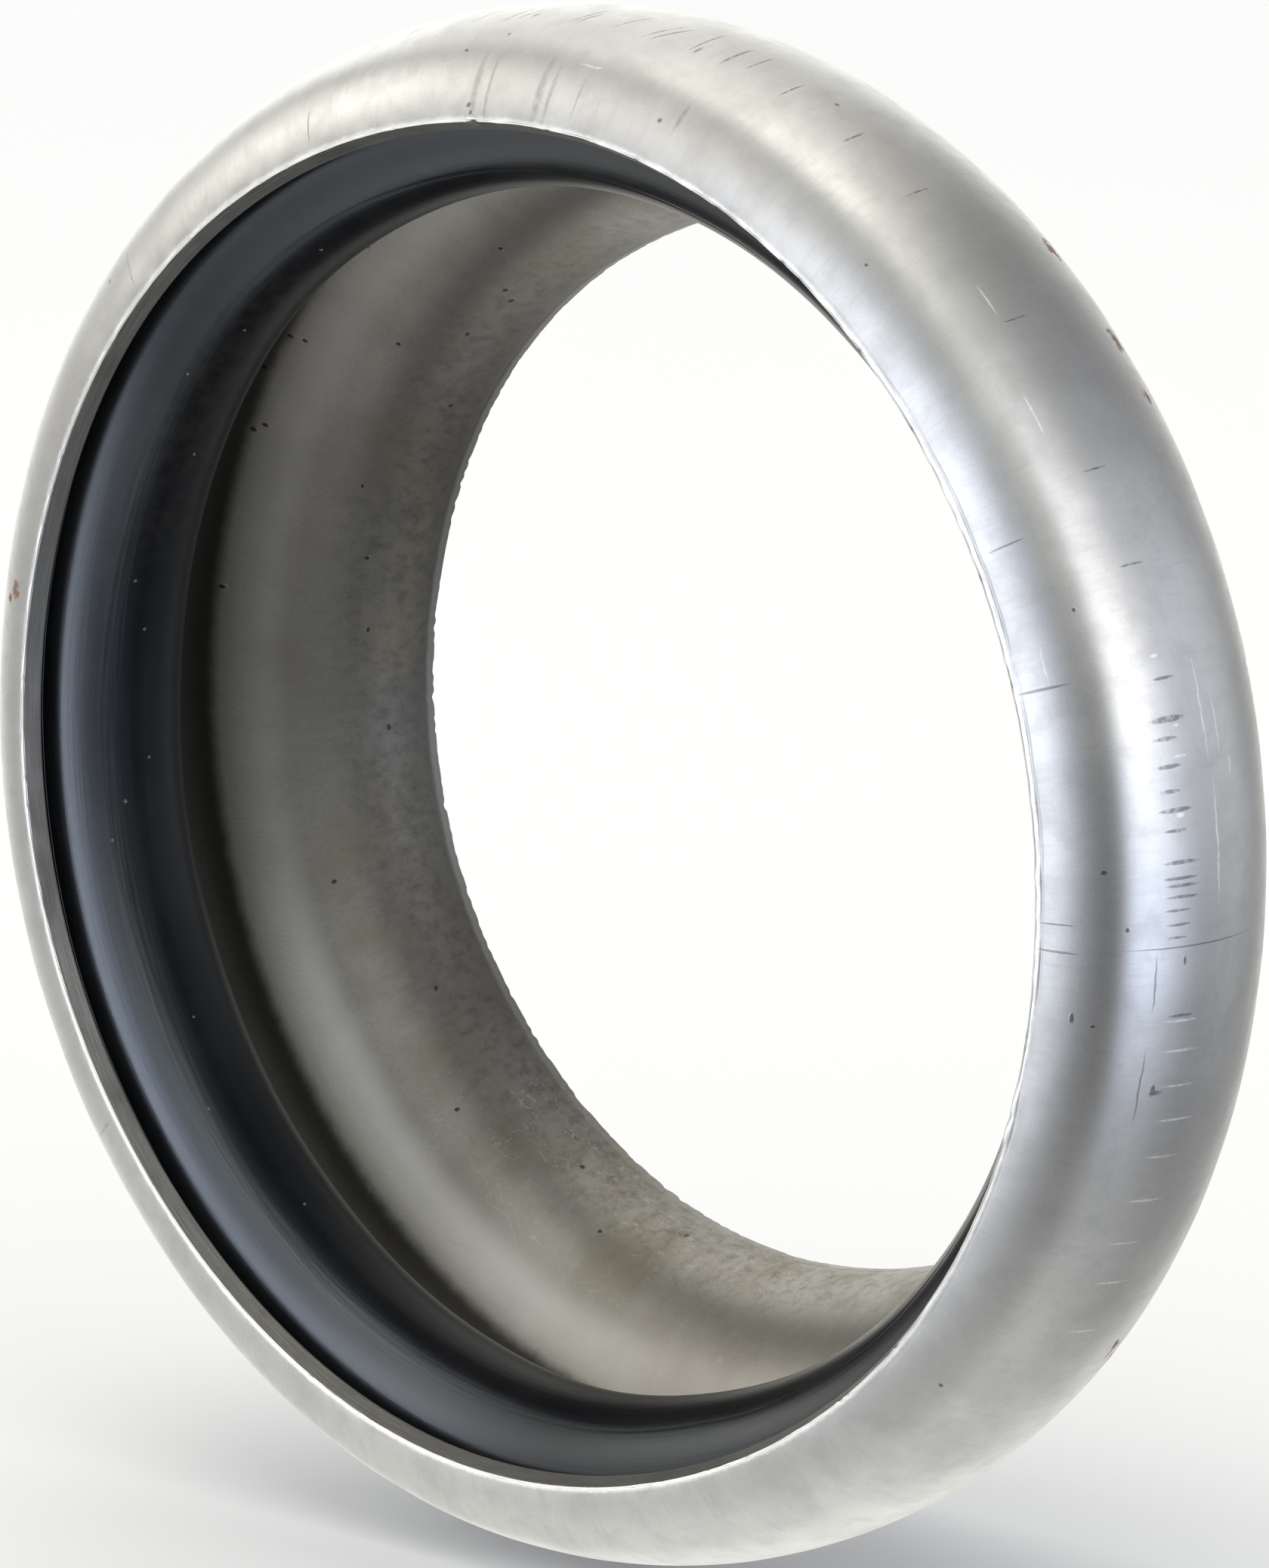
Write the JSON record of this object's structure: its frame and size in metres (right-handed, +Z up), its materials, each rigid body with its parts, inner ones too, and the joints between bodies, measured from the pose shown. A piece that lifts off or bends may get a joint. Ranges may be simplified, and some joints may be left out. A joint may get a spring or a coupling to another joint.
{
  "type": "pipe coupling socket",
  "caption": "Round formed-steel socket with a curled lip, a bulged body and a weld-on neck, with a rubber seal ring inside that grips a ball-ended pipe.",
  "frame": {"origin": "centre of the weld end's plane, where the pipe that holds the socket begins", "axes": "+Y is the ring's axis, towards the pipe that it is welded to; the mouth faces -Y; +Z is up"},
  "size_m": [0.2304, 0.0714, 0.2304],
  "materials": {
    "galvanised_steel": "formed sheet with a thin bright zinc skin, brushed along the bulge, duller and stained in the throat",
    "black_rubber": "smooth moulded rubber with a soft sheen and a little dust"
  },
  "bodies": {
    "root": {"socket_shell": "galvanised_steel", "seal_ring": "black_rubber"}
  },
  "joints": []
}
